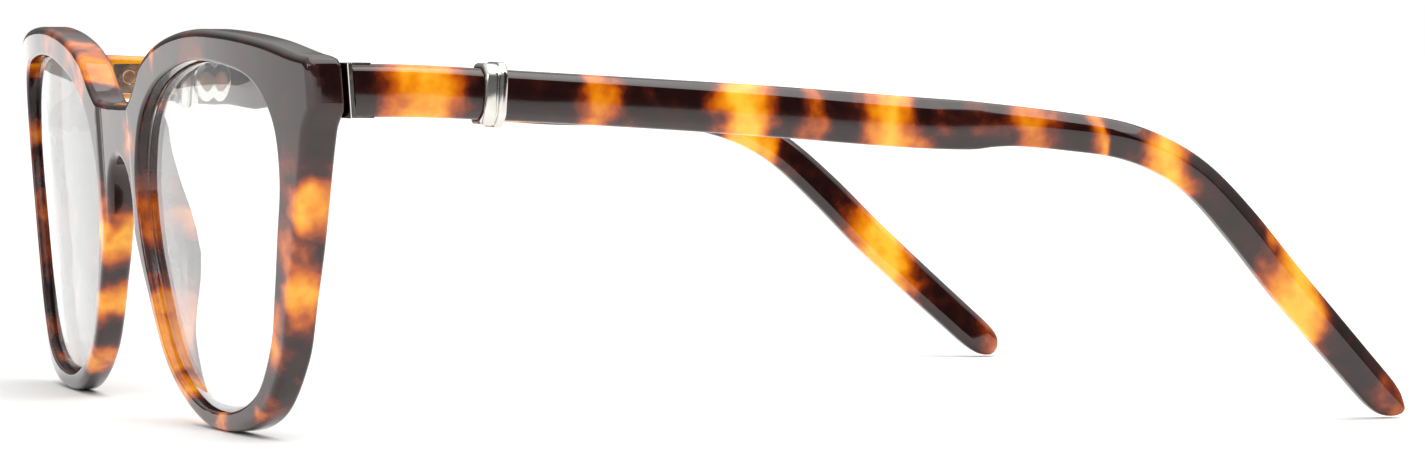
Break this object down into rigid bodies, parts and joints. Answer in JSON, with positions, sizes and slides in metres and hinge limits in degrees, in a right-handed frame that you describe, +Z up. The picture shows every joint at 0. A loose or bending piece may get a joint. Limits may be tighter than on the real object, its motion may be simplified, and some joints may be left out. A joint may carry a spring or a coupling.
{
  "type": "spectacles",
  "caption": "Folding spectacles: thick tortoiseshell acetate front with clear lenses and nose pads, hinged temples with metal end caps, rings and pins.",
  "frame": {"origin": "middle of the bounding box on the surface the spectacles stand on, temples open", "axes": "+X towards the wearer's left, the front faces -Y, the temples run back along +Y, +Z up"},
  "size_m": [0.1332, 0.1446, 0.0459],
  "materials": {
    "tortoiseshell_acetate": "polished, dark brown with amber patches",
    "clear_lens": "clear, polished",
    "polished_palladium": "mirror polished plating",
    "brushed_steel": "satin"
  },
  "bodies": {
    "front": {"front_frame": "tortoiseshell_acetate", "left_lens": "clear_lens", "right_lens": "clear_lens", "left_front_hinge": "brushed_steel", "right_front_hinge": "brushed_steel", "left_hinge_screw": "brushed_steel", "right_hinge_screw": "brushed_steel"},
    "left_temple_arm": {"left_temple": "tortoiseshell_acetate", "left_temple_hinge": "brushed_steel", "left_temple_end_cap": "polished_palladium", "left_core_wire": "brushed_steel", "left_ring": "polished_palladium", "left_inner_plate": "polished_palladium", "left_temple_pin": "polished_palladium"},
    "right_temple_arm": {"right_temple": "tortoiseshell_acetate", "right_temple_hinge": "brushed_steel", "right_temple_end_cap": "polished_palladium", "right_core_wire": "brushed_steel", "right_ring": "polished_palladium", "right_inner_plate": "polished_palladium", "right_temple_pin": "polished_palladium"}
  },
  "joints": [
    {"name": "left_temple_fold", "type": "hinge", "parent": "front", "child": "left_temple_arm", "pos_m": [0.05815, -0.0612, 0.0393], "axis": [0, 0, 1], "range_deg": [0, 88]},
    {"name": "right_temple_fold", "type": "hinge", "parent": "front", "child": "right_temple_arm", "pos_m": [-0.05815, -0.0612, 0.0393], "axis": [0, 0, -1], "range_deg": [0, 70]}
  ]
}
